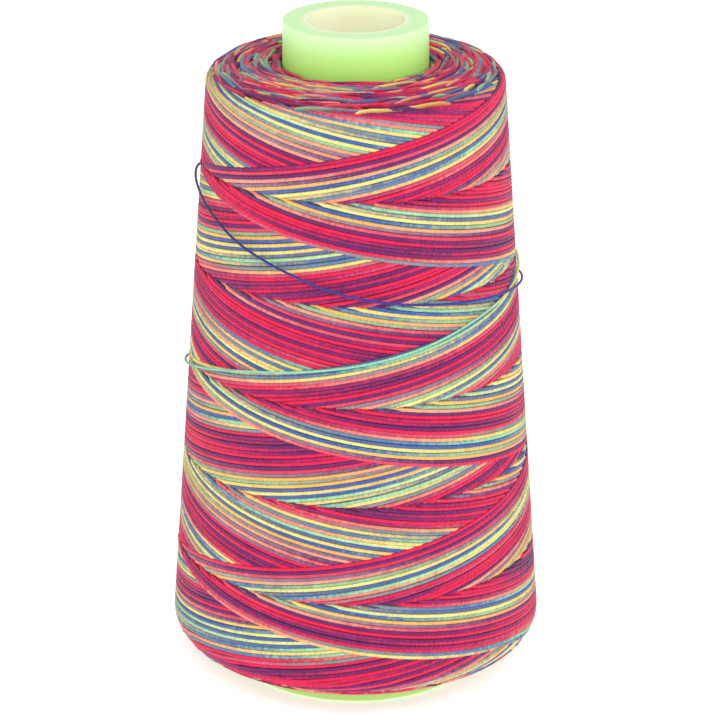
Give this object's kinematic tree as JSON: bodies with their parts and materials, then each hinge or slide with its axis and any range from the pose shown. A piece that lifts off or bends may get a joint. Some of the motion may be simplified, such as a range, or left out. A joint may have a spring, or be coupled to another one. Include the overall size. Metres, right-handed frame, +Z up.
{
  "type": "overlock thread cone",
  "caption": "Tapered moulded cone wound with variegated overlock thread, with the slack end of the thread lying round the winding.",
  "frame": {"origin": "centre of the cone's base, on the plane that it stands on", "axes": "+Z up along the cone's axis, from its wide base to its nose; -Y is the front, where the slack thread crosses the winding"},
  "size_m": [0.0646, 0.0646, 0.115],
  "materials": {
    "cone_plastic": "translucent light green polypropylene, soft sheen",
    "variegated_thread": "spun polyester sewing thread, space-dyed in crimson, plum, indigo, teal, lime, yellow, orange and coral"
  },
  "bodies": {
    "root": {"cone": "cone_plastic", "wound_thread": "variegated_thread", "loose_thread_end": "variegated_thread"}
  },
  "joints": []
}
